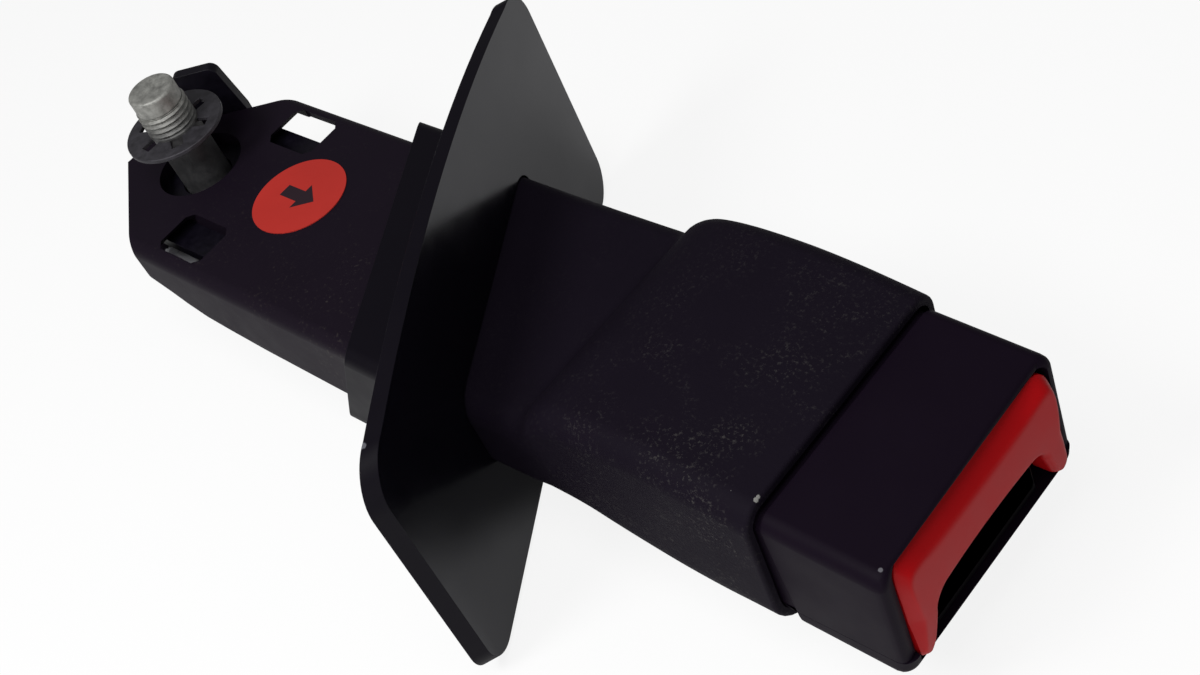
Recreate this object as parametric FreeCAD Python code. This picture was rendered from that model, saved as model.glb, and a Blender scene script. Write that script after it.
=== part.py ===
import FreeCAD, Part
import math
import os

# Seat belt buckle on a rigid stalk, in millimetres.
# The origin is on the anchor bolt's axis at the strap's top face. +X runs along the stalk to the press
# button, +Z along the bolt to its threaded end, and +Y to the side where the strap's tab stands.

V = FreeCAD.Vector

# Widths that follow from the head's half width
HEAD_HALF = 23.1
HEAD_WALL = 2.0
HEAD_STEP_OUT = 0.4
HEAD_OUTER_HALF = HEAD_HALF + HEAD_STEP_OUT
CLIP_ROOM = 0.5
SLEEVE_WALL = 1.6
SLEEVE_HALF = HEAD_HALF + CLIP_ROOM + SLEEVE_WALL
BUTTON_GAP = 0.35
BUTTON_HALF = HEAD_HALF - HEAD_WALL - BUTTON_GAP
BUTTON_LEG = 5.75
BUTTON_SLOT_HALF = BUTTON_HALF - BUTTON_LEG
GUIDE_WALL = 1.65
GUIDE_SLOT_HALF = BUTTON_SLOT_HALF - BUTTON_GAP - GUIDE_WALL
FRAME_ROOM = 4.7
FRAME_HALF = HEAD_HALF - HEAD_WALL - FRAME_ROOM
FRAME_T = 2.0
STRAP_GAP = 0.4
STRAP_HALF = FRAME_HALF - FRAME_T - STRAP_GAP
CAM_ROOM = 1.8
CAM_W = 3.0
CAM_Y1 = FRAME_HALF - FRAME_T - CAM_ROOM
CAM_Y0 = CAM_Y1 - CAM_W
LATCH_HALF = CAM_Y0 - 0.6
TOOTH_HALF = LATCH_HALF - 1.0
EJECTOR_HALF = TOOTH_HALF
BUTTON_SPRING_IN = 5.35
BUTTON_SPRING_Y = BUTTON_HALF - BUTTON_SPRING_IN

# Strap and its load path
STRAP_T = 2.5
STRAP_END_HALF = 17.8
STRAP_END_LENGTH = 30.0
STRAP_TAPER = 14.0
STRAP_CHAMFER_OFFSET = 14.6
STRAP_TAIL = 15.5
JOGGLE_START = 119.0
JOGGLE_LENGTH = 22.0
BEND_SHIFT = 1.0
STRAP_FRONT = 152.0

# Anti-rotation tab, folded up along the far chamfer
CHAMFER_ANGLE = 37.5
TAB_OFFSET = 15.9
TAB_FROM = -5.0
TAB_TO = 7.8
TAB_TOP_TO = 5.8
TAB_HEIGHT = 15.5
TAB_CORNER = 2.0

# Anchor bolt and its washers
BOLT_R = 5.56
BOLT_FIT = 0.06
BOLT_COLLAR_TOP = 0.5
SHANK_R = 5.3
THREAD_START = 15.6
THREAD_END = 23.5
DOG_R = 4.9
DOG_EDGE = 0.6
BOLT_TOP = 25.2
BOLT_HEAD_FLATS = 17.0
BOLT_HEAD_H = 7.0
BOLT_FLANGE_R = 11.0
BOLT_FLANGE_T = 1.8
SPRING_WASHER_R = 9.5
SPRING_WASHER_T = 0.9
KEEPER_R = 10.9
KEEPER_T = 1.0
KEEPER_Z = 14.1
KEEPER_NOTCHES = 6
KEEPER_NOTCH_W = 2.6
KEEPER_NOTCH_R = 8.2
KEEPER_TURN = 27.0
BODY_GAP = 0.3

# Rear cover over the strap; its lower edge is given as (x, z)
COVER_TOP = 3.5
COVER_HALF = 24.8
COVER_WALL = 2.0
COVER_TAIL = 19.6
COVER_NEAR_OFFSET = 17.1
COVER_FAR_OFFSET = 15.5
COVER_EDGE_R = 3.0
COVER_CURL_R = 4.5
COVER_CURL_IN = 6.5
COVER_NEAR_CURL = 11.0
COVER_HOLE_R = 9.6
FAR_WALL_START = 25.0
COVER_BOTTOM = [(-3.0, -8.0), (3.0, -8.8), (10.2, -11.2), (14.2, -12.9), (20.0, -14.6), (27.0, -15.4),
                (39.0, -16.4), (58.0, -17.2), (100.0, -18.6)]
SLOT_X0 = 10.4
SLOT_X1 = 24.6
SLOT_Y0 = 11.4
SLOT_Y1 = 21.8
SLOT_FLARE = 1.3
SLOT_POCKET = 4.0
SLOT_WALL = 1.5
SLOT_CORNER = 1.6
BASE_START = 29.0
BASE_T = 2.0
BASE_FIT = 0.15
COVER_RIVET_X = 46.0
COVER_RIVET_Y = 8.5
COVER_RIVET_R = 2.0
COVER_RIVET_HEAD_R = 4.0
COVER_RIVET_HEAD_T = 1.6
COVER_BOSS_R = 4.0

# Round side label
LABEL_X = 32.6
LABEL_Y = 1.9
LABEL_R = 10.5
LABEL_T = 0.2

# Trim plate across the stalk, turned about Z, and its skirt
TRIM_X = 93.7
TRIM_YAW = 31.4
TRIM_T = 2.8
TRIM_HALF = 60.8
TRIM_CENTRE = 0.5
TRIM_TOP = 26.6
TRIM_RISE = 4.2
TRIM_REAR_SHIFT = -1.7
TRIM_BOTTOM = -29.5
TRIM_TOP_R = 9.0
TRIM_BOTTOM_R = 7.0
SKIRT_WALL = 2.3
SKIRT_HALF = max(SLEEVE_HALF, COVER_HALF) + SKIRT_WALL
SKIRT_TOP = 7.4
SKIRT_BOTTOM = -23.0
SKIRT_TOP_R = 3.0
SKIRT_BOTTOM_R = 8.0
SKIRT_DEPTH = 25.4
SKIRT_LEAN = 27.0
SKIRT_FIT = 0.15

# Neck and sleeve, one moulding: (x, widening of the half width, top, bottom, bottom corner radius)
SLEEVE_BACK = 19.0
COVER_SLEEVE_GAP = 0.3
SLEEVE_TOP_R = 4.5
SLEEVE_SECTIONS = [
    (40.0, 0.0, 6.0, -12.6, 5.0), (118.0, 0.0, 6.1, -12.6, 5.0), (121.5, 0.0, 6.4, -12.4, 5.2),
    (123.5, 0.0, 7.9, -12.4, 5.6), (125.6, 0.1, 10.3, -12.5, 6.0), (129.4, 0.1, 12.9, -13.2, 6.6),
    (132.5, 0.1, 14.0, -14.2, 7.3), (138.0, 0.2, 14.7, -16.2, 8.4), (145.0, 0.2, 15.0, -18.2, 9.0),
    (152.0, 0.2, 14.9, -19.4, 9.0), (160.0, 0.2, 14.2, -20.1, 9.0), (168.0, 0.1, 13.2, -20.4, 9.0),
    (173.9, 0.1, 12.2, -20.5, 9.0)]

# Head casing, two halves; its front is cut to a profile of (x, z) points
HEAD_BACK = 149.4
HEAD_TOP = 9.5
HEAD_BOTTOM = -18.2
HEAD_TOP_R = 2.6
HEAD_BOTTOM_R = 3.5
HEAD_INNER_BOTTOM = -17.3
HEAD_INNER_BOTTOM_R = 7.0
HEAD_RISE = 0.6
HEAD_NOSE_X = 199.0
HEAD_TOP_EDGE_X = 192.4
HEAD_TOP_EDGE_LOW = 4.0
HEAD_NOSE_TOP = 8.5
HEAD_NOSE_BOTTOM = -19.0
HEAD_STEP = 174.6
HEAD_PROFILE = [(196.2, 12.0), (196.3, 8.6), (196.8, 2.0), (197.1, -5.0), (196.4, -12.0), (195.3, -16.2),
                (193.9, -18.8), (193.7, -22.0)]
MOUTH_X = 173.9
MOUTH_LEAN = 4.0
SEAM_Z = -13.2
CLIP_X = 152.0
CLIP_LENGTH = 12.0
CLIP_H = 8.0

# Press button
BUTTON_PROFILE = [(195.2, 10.0), (195.4, 7.3), (197.3, 5.2), (197.8, -2.0), (197.5, -8.0), (196.4, -15.4),
                  (196.4, -20.0)]
BUTTON_BACK = 193.2
BUTTON_SIDE_CHAMFER = 1.9
BUTTON_SLOT_TOP = -6.1
BUTTON_LEG_BOTTOM = -15.8
BUTTON_SLOT_R = 2.5
BUTTON_FOOT_R = 1.8
BUTTON_SKIRT_T = 1.8
BUTTON_SKIRT_BACK = 182.0
BUTTON_ARM_BACK = 171.9
BUTTON_ARM_TOP = 1.5
BUTTON_ARM_BOTTOM = -3.0
BUTTON_TRAVEL = 5.0
CAM_SLOPE = 0.7
CAM_TIP_Z = -8.7
CAM_TIP_T = 1.5
CAM_BAR_Z = -6.2
CAM_BAR_T = 1.7

# Buckle frame and latch
FRAME_BACK = 144.4
FRAME_FRONT = 186.5
CHEEK_BACK = 151.8
FRAME_TOP = -1.0
FLOOR_GAP = 0.1
RIVET_X = 148.0
RIVET_Y = 7.0
RIVET_R = 2.2
RIVET_HEAD_R = 3.5
RIVET_HEAD_T = 1.0
PIN_X = 157.5
PIN_Z = -4.6
PIN_R = 2.0
PIN_FIT = 0.05
LATCH_HUB_R = 3.9
LATCH_T = 2.5
LATCH_BOTTOM = -8.9
LATCH_FRONT = 175.5
TOOTH_T = 4.0
TOOTH_TIP = -15.0
EAR_BACK = 166.8
EAR_FRONT = 170.4
WINDOW_GAP = 1.0

# Tongue path, guide and ejector
GUIDE_BACK = 187.2
GUIDE_FRONT = 193.9
GUIDE_TOP = -6.6
GUIDE_SLOT_BOTTOM = -13.7
GUIDE_SLOT_TOP = -8.6
GUIDE_FLARE = 1.2
EJECTOR_BACK = 160.4
EJECTOR_FRONT = 170.6
EJECTOR_TOP = -9.4
EJECTOR_BORE_END = 168.6
EJECTOR_SPRING_R = 1.55
SPRING_FIT = 0.25

# Springs: closed sleeves of the coil's outer and inner size
BUTTON_SPRING_Z = 2.6
BUTTON_SPRING_R = 2.4
BUTTON_SPRING_BACK = 168.0
LATCH_SPRING_X = 165.0
LATCH_SPRING_R = 3.0
LATCH_BOSS_H = 4.0
SPRING_STOP_IN = 3.4
SPRING_STOP_OUT = 2.6
SPRING_WIRE = 0.6


def box(x0, x1, y0, y1, z0, z1):
    return Part.makeBox(x1 - x0, y1 - y0, z1 - z0, V(x0, y0, z0))


def box_y(x0, x1, ya, yb, z0, z1):
    """Box whose two Y limits come in either order."""
    return box(x0, x1, min(ya, yb), max(ya, yb), z0, z1)


def rod(x, y, z, radius, length, axis=V(0, 0, 1)):
    return Part.makeCylinder(radius, length, V(x, y, z), axis)


def prism(points, z0, z1):
    """Upright prism over a polygon of (x, y) points."""
    wire = Part.makePolygon([V(x, y, z0) for x, y in points] + [V(*points[0], z0)])
    return Part.Face(wire).extrude(V(0, 0, z1 - z0))


def slab(points, y0, y1):
    """Prism along Y over a polygon of (x, z) points."""
    wire = Part.makePolygon([V(x, y0, z) for x, z in points] + [V(points[0][0], y0, points[0][1])])
    return Part.Face(wire).extrude(V(0, y1 - y0, 0))


def section(x, half, top, bottom, r_top, r_bottom):
    """Rounded rectangle across X."""
    def corner(y, z, r, start):
        mid = math.radians(start + 45)
        end = math.radians(start + 90)
        begin = math.radians(start)
        return Part.Arc(V(x, y + r * math.cos(begin), z + r * math.sin(begin)),
                        V(x, y + r * math.cos(mid), z + r * math.sin(mid)),
                        V(x, y + r * math.cos(end), z + r * math.sin(end))).toShape()
    side_top = half - r_top
    side_bottom = half - r_bottom
    corners = [corner(side_top, top - r_top, r_top, 0), corner(-side_top, top - r_top, r_top, 90),
               corner(-side_bottom, bottom + r_bottom, r_bottom, 180),
               corner(side_bottom, bottom + r_bottom, r_bottom, 270)]
    edges = []
    for i, arc in enumerate(corners):
        edges.append(arc)
        following = corners[(i + 1) % 4]
        edges.append(Part.makeLine(arc.Vertexes[-1].Point, following.Vertexes[0].Point))
    return Part.Wire(edges)


def tube_between(sections):
    """Solid through rounded sections given as (x, half, top, bottom, r_top, r_bottom)."""
    return Part.makeLoft([section(*s) for s in sections], True, True)


def trim_frame(shape):
    """Moves a shape drawn with its front face on x = 0 to the trim plate's turned plane."""
    turned = FreeCAD.Placement(V(TRIM_X, 0, 0), FreeCAD.Rotation(V(0, 0, 1), TRIM_YAW))
    shape.Placement = turned.multiply(shape.Placement)
    return shape


def behind_trim(depth, reach=260.0):
    """Half space further than depth behind the trim plate's front face."""
    return trim_frame(box(-depth - reach, -depth, -reach, reach, -reach, reach))


def chamfer_half_plane(offset, side, z0, z1, reach=80.0):
    """Region beyond a chamfer line at the tail, on side +1 (far) or -1 (near)."""
    block = box(-reach, reach, offset, offset + reach, z0, z1)
    block.rotate(V(0, 0, 0), V(0, 0, 1), CHAMFER_ANGLE)
    if side < 0:
        block = block.mirror(V(0, 0, 0), V(0, 1, 0))
    return block


def along_chamfer(shape):
    """Turns a shape drawn along X so that it follows the far chamfer."""
    shape.rotate(V(0, 0, 0), V(0, 0, 1), CHAMFER_ANGLE)
    return shape


def strap_drop():
    """How far the joggle takes the strap down, so that it lies on the frame's base."""
    return -(frame_floor() + FRAME_T + STRAP_T)


def frame_floor():
    return HEAD_BOTTOM + HEAD_WALL + FLOOR_GAP


def joggle_end():
    return JOGGLE_START + JOGGLE_LENGTH


def make_anchor_strap():
    low = -strap_drop()
    side = slab([(-STRAP_TAIL, 0), (JOGGLE_START, 0), (joggle_end(), low), (STRAP_FRONT, low),
                 (STRAP_FRONT, low - STRAP_T), (joggle_end() - BEND_SHIFT, low - STRAP_T),
                 (JOGGLE_START - BEND_SHIFT, -STRAP_T), (-STRAP_TAIL, -STRAP_T)],
                -STRAP_END_HALF, STRAP_END_HALF)
    taper_end = STRAP_END_LENGTH + STRAP_TAPER
    plan = prism([(-STRAP_TAIL, -STRAP_END_HALF), (STRAP_END_LENGTH, -STRAP_END_HALF),
                  (taper_end, -STRAP_HALF), (STRAP_FRONT, -STRAP_HALF), (STRAP_FRONT, STRAP_HALF),
                  (taper_end, STRAP_HALF),
                  (STRAP_END_LENGTH, STRAP_END_HALF), (-STRAP_TAIL, STRAP_END_HALF)],
                 low - 2 * STRAP_T, STRAP_T)
    strap = side.common(plan)
    for where in (1, -1):
        strap = strap.cut(chamfer_half_plane(STRAP_CHAMFER_OFFSET, where, -2 * STRAP_T, STRAP_T))
    foot = box(TAB_FROM, TAB_TO, STRAP_CHAMFER_OFFSET - 4.0, TAB_OFFSET + STRAP_T, -STRAP_T, 0)
    wall = box(TAB_FROM, TAB_TO, TAB_OFFSET, TAB_OFFSET + STRAP_T, -STRAP_T, TAB_HEIGHT)
    beyond = TAB_TO + 5
    above = TAB_HEIGHT + 5
    slope = slab([(TAB_TO, COVER_TOP), (beyond, COVER_TOP), (beyond, above), (TAB_TOP_TO, above),
                  (TAB_TOP_TO, TAB_HEIGHT)], TAB_OFFSET - 1, TAB_OFFSET + STRAP_T + 1)
    wall = wall.cut(slope)
    top_edges = [e for e in wall.Edges if all(v.Z > TAB_HEIGHT - 0.01 for v in e.Vertexes)]
    corners = [e for e in top_edges if abs(e.Vertexes[0].X - e.Vertexes[-1].X) < 0.01]
    wall = wall.makeFillet(TAB_CORNER, corners)
    strap = strap.fuse(along_chamfer(foot.fuse(wall)))
    strap = strap.cut(rod(0, 0, -2 * STRAP_T, BOLT_R + BOLT_FIT, 3 * STRAP_T))
    for y in (-RIVET_Y, RIVET_Y):
        strap = strap.cut(rod(RIVET_X, y, low - 2 * STRAP_T, RIVET_R, 4 * STRAP_T))
    for y in (-COVER_RIVET_Y, COVER_RIVET_Y):
        strap = strap.cut(rod(COVER_RIVET_X, y, -2 * STRAP_T, COVER_RIVET_R, 4 * STRAP_T))
    return strap.removeSplitter()


def make_anchor_bolt():
    seat = -STRAP_T - SPRING_WASHER_T - BODY_GAP
    flange = rod(0, 0, seat - BOLT_FLANGE_T, BOLT_FLANGE_R, BOLT_FLANGE_T)
    across = BOLT_HEAD_FLATS / 2 / math.cos(math.pi / 6)
    turns = [math.radians(60 * i) for i in range(6)]
    hexagon = prism([(across * math.cos(a), across * math.sin(a)) for a in turns],
                    seat - BOLT_FLANGE_T - BOLT_HEAD_H, seat - BOLT_FLANGE_T)
    outline = [(0, seat - 0.5), (BOLT_R, seat - 0.5), (BOLT_R, BOLT_COLLAR_TOP), (SHANK_R, BOLT_COLLAR_TOP),
               (SHANK_R, THREAD_START), (BOLT_R, THREAD_START), (BOLT_R, THREAD_END),
               (DOG_R, THREAD_END + (BOLT_R - DOG_R)), (DOG_R, BOLT_TOP - DOG_EDGE),
               (DOG_R - DOG_EDGE, BOLT_TOP), (0, BOLT_TOP)]
    wire = Part.makePolygon([V(r, 0, z) for r, z in outline + outline[:1]])
    shank = Part.Face(wire).revolve(V(0, 0, 0), V(0, 0, 1), 360)
    return flange.fuse(hexagon).fuse(shank).removeSplitter()


def make_spring_washer():
    z = -STRAP_T - SPRING_WASHER_T
    hole = rod(0, 0, z - 1, BOLT_R + BODY_GAP, SPRING_WASHER_T + 2)
    return rod(0, 0, z, SPRING_WASHER_R, SPRING_WASHER_T).cut(hole)


def make_retaining_washer():
    ring = rod(0, 0, KEEPER_Z, KEEPER_R, KEEPER_T).cut(rod(0, 0, KEEPER_Z - 1, SHANK_R, KEEPER_T + 2))
    for i in range(KEEPER_NOTCHES):
        notch = box(SHANK_R - 1, KEEPER_NOTCH_R, -KEEPER_NOTCH_W / 2, KEEPER_NOTCH_W / 2,
                    KEEPER_Z - 1, KEEPER_Z + KEEPER_T + 1)
        notch.rotate(V(0, 0, 0), V(0, 0, 1), KEEPER_TURN + 360 / KEEPER_NOTCHES * i)
        ring = ring.cut(notch)
    return ring


def cover_outer(inset=0.0, low=0.0):
    return tube_between([(x, COVER_HALF - inset, COVER_TOP - low, z + inset, COVER_EDGE_R - inset,
                          COVER_CURL_R - inset) for x, z in COVER_BOTTOM])


def slot_cutter(side):
    """Slot that widens downwards at its rear and outer walls, with its corners cut off."""
    rings = []
    c, k = SLOT_CORNER, side * SLOT_CORNER
    for z, flare in ((COVER_TOP + 0.01, 0.0), (COVER_TOP - SLOT_WALL, SLOT_FLARE), (-0.01, SLOT_FLARE)):
        a, b = side * SLOT_Y0, side * (SLOT_Y1 + flare)
        x0, x1 = SLOT_X0 - flare, SLOT_X1
        points = [(x0 + c, a), (x1 - c, a), (x1, a + k), (x1, b - k), (x1 - c, b), (x0 + c, b), (x0, b - k), (x0, a + k)]
        rings.append(Part.makePolygon([V(x, y, z) for x, y in points + points[:1]]))
    return Part.makeLoft(rings, True, True)


def make_rear_cover():
    low = COVER_BOTTOM[0][1]
    front_end = COVER_BOTTOM[-1][0]
    top = tube_between([(x, COVER_HALF, COVER_TOP, low, COVER_EDGE_R, COVER_EDGE_R)
                        for x in (-COVER_TAIL, front_end)])
    top = top.common(box(-COVER_TAIL, front_end, -COVER_HALF, COVER_HALF, 0, COVER_TOP))
    shell = cover_outer().cut(cover_outer(COVER_WALL, COVER_TOP))
    near_end = BASE_START - BODY_GAP
    far = COVER_HALF - COVER_CURL_IN
    shell = shell.cut(box(-50, near_end, -COVER_HALF + COVER_NEAR_CURL, far, -60, -0.01))
    shell = shell.cut(box(near_end, 200, -far, far, -60, -0.01))
    shell = shell.cut(box(-50, FAR_WALL_START, 0, 60, -60, -0.01))
    cover = top.fuse(shell)
    cover = cover.cut(chamfer_half_plane(COVER_NEAR_OFFSET, -1, -60, COVER_TOP + 1))
    cover = cover.cut(chamfer_half_plane(COVER_FAR_OFFSET, 1, -60, COVER_TOP + 1))
    cover = cover.cut(rod(0, 0, -1, COVER_HOLE_R, COVER_TOP + 2))
    pocket_top = COVER_TOP - SLOT_WALL
    for side in (1, -1):
        cover = cover.cut(box_y(SLOT_X0 - SLOT_POCKET, SLOT_X1 + SLOT_FLARE, side * SLOT_Y0,
                                side * (COVER_HALF - COVER_WALL), -0.01, pocket_top))
        cover = cover.cut(slot_cutter(side))
    for y in (-COVER_RIVET_Y, COVER_RIVET_Y):
        cover = cover.cut(rod(COVER_RIVET_X, y, -1, COVER_RIVET_R, COVER_TOP - 0.3))
    front = behind_trim(SLEEVE_BACK + COVER_SLEEVE_GAP)
    return cover.common(front).removeSplitter()


def cover_floor(x):
    """Height of the cover's underside at x."""
    for (x0, z0), (x1, z1) in zip(COVER_BOTTOM, COVER_BOTTOM[1:]):
        if x0 <= x <= x1:
            return z0 + (z1 - z0) * (x - x0) / (x1 - x0)
    return COVER_BOTTOM[-1][1]


def make_rear_cover_base():
    half = COVER_HALF - COVER_CURL_IN - BASE_FIT
    end = COVER_BOTTOM[-1][0]
    stations = [BASE_START] + [x for x, z in COVER_BOTTOM if x > BASE_START]
    lower = [(x, cover_floor(x)) for x in stations]
    floor = slab(lower + [(x, z + BASE_T) for x, z in reversed(lower)], -half, half)
    for side in (1, -1):
        y0, y1 = sorted((side * half, side * (half - BASE_T)))
        floor = floor.fuse(slab(lower + [(end, -STRAP_T - 5), (BASE_START, -STRAP_T - 5)], y0, y1))
    for y in (-COVER_RIVET_Y, COVER_RIVET_Y):
        z = cover_floor(COVER_RIVET_X)
        floor = floor.fuse(rod(COVER_RIVET_X, y, z + 0.5, COVER_BOSS_R, -STRAP_T - z - 0.5))
    for y in (-COVER_RIVET_Y, COVER_RIVET_Y):
        z = cover_floor(COVER_RIVET_X)
        floor = floor.cut(rod(COVER_RIVET_X, y, z - 1, COVER_RIVET_R, 30))
    return floor.common(behind_trim(SLEEVE_BACK + COVER_SLEEVE_GAP)).removeSplitter()


def make_cover_rivets():
    rivets = []
    for y in (-COVER_RIVET_Y, COVER_RIVET_Y):
        z = cover_floor(COVER_RIVET_X) - 0.4
        head = rod(COVER_RIVET_X, y, z - COVER_RIVET_HEAD_T, COVER_RIVET_HEAD_R, COVER_RIVET_HEAD_T)
        rivets.append(head.fuse(rod(COVER_RIVET_X, y, z - 0.5, COVER_RIVET_R, COVER_TOP - 1.5 - z + 0.5)))
    return Part.Compound(rivets)


def make_side_label():
    return rod(LABEL_X, LABEL_Y, COVER_TOP, LABEL_R, LABEL_T)


def trim_outline(x, shift):
    """Rounded plate outline in its own plane, with the top edge rising in an arc."""
    left = TRIM_CENTRE - TRIM_HALF + shift
    right = TRIM_CENTRE + TRIM_HALF + shift

    def arc(y, z, r, start):
        turns = [math.radians(a) for a in (start, start + 45, start + 90)]
        return Part.Arc(*[V(x, y + r * math.cos(a), z + r * math.sin(a)) for a in turns]).toShape()

    def line(first, second):
        return Part.makeLine(first.Vertexes[-1].Point, second.Vertexes[0].Point)
    upper_right = arc(right - TRIM_TOP_R, TRIM_TOP - TRIM_TOP_R, TRIM_TOP_R, 0)
    upper_left = arc(left + TRIM_TOP_R, TRIM_TOP - TRIM_TOP_R, TRIM_TOP_R, 90)
    lower_left = arc(left + TRIM_BOTTOM_R, TRIM_BOTTOM + TRIM_BOTTOM_R, TRIM_BOTTOM_R, 180)
    lower_right = arc(right - TRIM_BOTTOM_R, TRIM_BOTTOM + TRIM_BOTTOM_R, TRIM_BOTTOM_R, 270)
    crown = V(x, TRIM_CENTRE + shift, TRIM_TOP + TRIM_RISE)
    top = Part.Arc(upper_right.Vertexes[-1].Point, crown, upper_left.Vertexes[0].Point).toShape()
    return Part.Wire([upper_right, top, upper_left, line(upper_left, lower_left), lower_left,
                      line(lower_left, lower_right), lower_right, line(lower_right, upper_right)])


def make_trim_plate():
    plate = Part.makeLoft([trim_outline(-TRIM_T, TRIM_REAR_SHIFT), trim_outline(0, 0)], True, True)
    trim_frame(plate)
    ends = (SLEEVE_SECTIONS[0][0] - 30, TRIM_X + 40)
    skirt = tube_between([(x, SKIRT_HALF, SKIRT_TOP, SKIRT_BOTTOM, SKIRT_TOP_R, SKIRT_BOTTOM_R)
                          for x in ends])
    skirt = skirt.common(behind_trim(TRIM_T / 2))
    rear = box(-300, -SKIRT_DEPTH, -200, 200, -200, 200)
    rear.rotate(V(-SKIRT_DEPTH, 0, SKIRT_TOP), V(0, 1, 0), SKIRT_LEAN)
    skirt = skirt.cut(trim_frame(rear))
    widening, top, bottom, r_bottom = SLEEVE_SECTIONS[0][1:]
    half = SLEEVE_HALF + widening
    for_neck = tube_between([(x, half + SKIRT_FIT, top + SKIRT_FIT, bottom - SKIRT_FIT,
                              SLEEVE_TOP_R + SKIRT_FIT, r_bottom + SKIRT_FIT) for x in ends])
    low = COVER_BOTTOM[-1][1]
    for_cover = tube_between([(x, COVER_HALF + SKIRT_FIT, COVER_TOP + SKIRT_FIT, low - SKIRT_FIT,
                               COVER_EDGE_R + SKIRT_FIT, COVER_CURL_R + SKIRT_FIT) for x in ends])
    for_cover = for_cover.common(behind_trim(SLEEVE_BACK))
    return plate.fuse(skirt).cut(for_neck).cut(for_cover).removeSplitter()


def make_stalk_sleeve():
    wall = SLEEVE_WALL
    outer = tube_between([(x, SLEEVE_HALF + wider, top, bottom, SLEEVE_TOP_R, r)
                          for x, wider, top, bottom, r in SLEEVE_SECTIONS])
    inner = [(x, SLEEVE_HALF + wider - wall, top - wall, bottom + wall, SLEEVE_TOP_R - wall, r - wall)
             for x, wider, top, bottom, r in SLEEVE_SECTIONS]
    inner[0] = (inner[0][0] - 1,) + inner[0][1:]
    inner[-1] = (inner[-1][0] + 1,) + inner[-1][1:]
    mouth = box(MOUTH_X, MOUTH_X + 20, -60, 60, -60, 60)
    mouth.rotate(V(MOUTH_X, 0, SLEEVE_SECTIONS[-1][2]), V(0, 1, 0), MOUTH_LEAN)
    return outer.cut(tube_between(inner)).cut(behind_trim(SLEEVE_BACK)).cut(mouth).removeSplitter()


def head_outer():
    """Casing block: full corners in front of the sleeve's mouth, rounder ones inside it."""
    half = HEAD_OUTER_HALF
    exposed = tube_between([(HEAD_STEP, half, HEAD_TOP + HEAD_RISE, HEAD_BOTTOM, HEAD_TOP_R, HEAD_BOTTOM_R),
                            (HEAD_NOSE_X, half, HEAD_NOSE_TOP, HEAD_NOSE_BOTTOM, HEAD_TOP_R, HEAD_BOTTOM_R)])
    hidden = tube_between([(x, HEAD_HALF, HEAD_TOP, HEAD_INNER_BOTTOM, HEAD_TOP_R, HEAD_INNER_BOTTOM_R)
                           for x in (HEAD_BACK, HEAD_STEP)])
    beyond = HEAD_NOSE_X + 5
    ahead = slab(HEAD_PROFILE + [(beyond, HEAD_PROFILE[-1][1]), (beyond, HEAD_PROFILE[0][1])], -60, 60)
    depth = HEAD_PROFILE[0][0] - HEAD_TOP_EDGE_X
    radius = (half ** 2 + depth ** 2) / (2 * depth)
    scoop = rod(HEAD_TOP_EDGE_X + radius, 0, HEAD_TOP_EDGE_LOW, radius, 20)
    return exposed.cut(ahead).cut(scoop).fuse(hidden)


def head_cavity():
    inside = (HEAD_HALF - HEAD_WALL, HEAD_TOP - HEAD_WALL, HEAD_BOTTOM + HEAD_WALL, HEAD_TOP_R - 1.0)
    step = HEAD_STEP + HEAD_WALL
    exposed = tube_between([(x,) + inside + (1.5,) for x in (step, HEAD_NOSE_X + 10)])
    hidden = tube_between([(x,) + inside + (HEAD_INNER_BOTTOM_R - HEAD_WALL,) for x in (HEAD_BACK - 1, step)])
    return exposed.fuse(hidden)


def make_head_casings():
    shell = head_outer().cut(head_cavity())
    over_rivets = frame_floor() + FRAME_T + STRAP_T + RIVET_HEAD_T + BODY_GAP
    upper = shell.fuse(box(HEAD_BACK, HEAD_BACK + HEAD_WALL, -HEAD_HALF + 1, HEAD_HALF - 1,
                           over_rivets, HEAD_TOP - 1))
    for side in (1, -1):
        stop = box_y(BUTTON_SPRING_BACK - HEAD_WALL, BUTTON_SPRING_BACK,
                     side * (BUTTON_SPRING_Y - SPRING_STOP_IN), side * (BUTTON_SPRING_Y + SPRING_STOP_OUT),
                     BUTTON_SPRING_Z - BUTTON_SPRING_R, HEAD_TOP - 1)
        upper = upper.fuse(stop)
    boss_r = LATCH_SPRING_R - SPRING_WIRE - SPRING_FIT
    boss = rod(LATCH_SPRING_X, 0, HEAD_TOP - HEAD_WALL - LATCH_BOSS_H, boss_r, LATCH_BOSS_H + 0.5)
    upper = upper.fuse(boss).cut(box(0, 300, -60, 60, -60, SEAM_Z))
    lower = shell.common(box(0, 300, -60, 60, -60, SEAM_Z))
    return upper.removeSplitter(), lower.removeSplitter()


def make_casing_clips():
    """Two steel clips in the gap between the sleeve and the head's sides."""
    clips = []
    inner = HEAD_HALF + CLIP_ROOM
    for side in (1, -1):
        clips.append(box_y(CLIP_X, CLIP_X + CLIP_LENGTH, side * HEAD_HALF, side * inner,
                           -CLIP_H / 2, CLIP_H / 2))
    return Part.Compound(clips)


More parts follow.
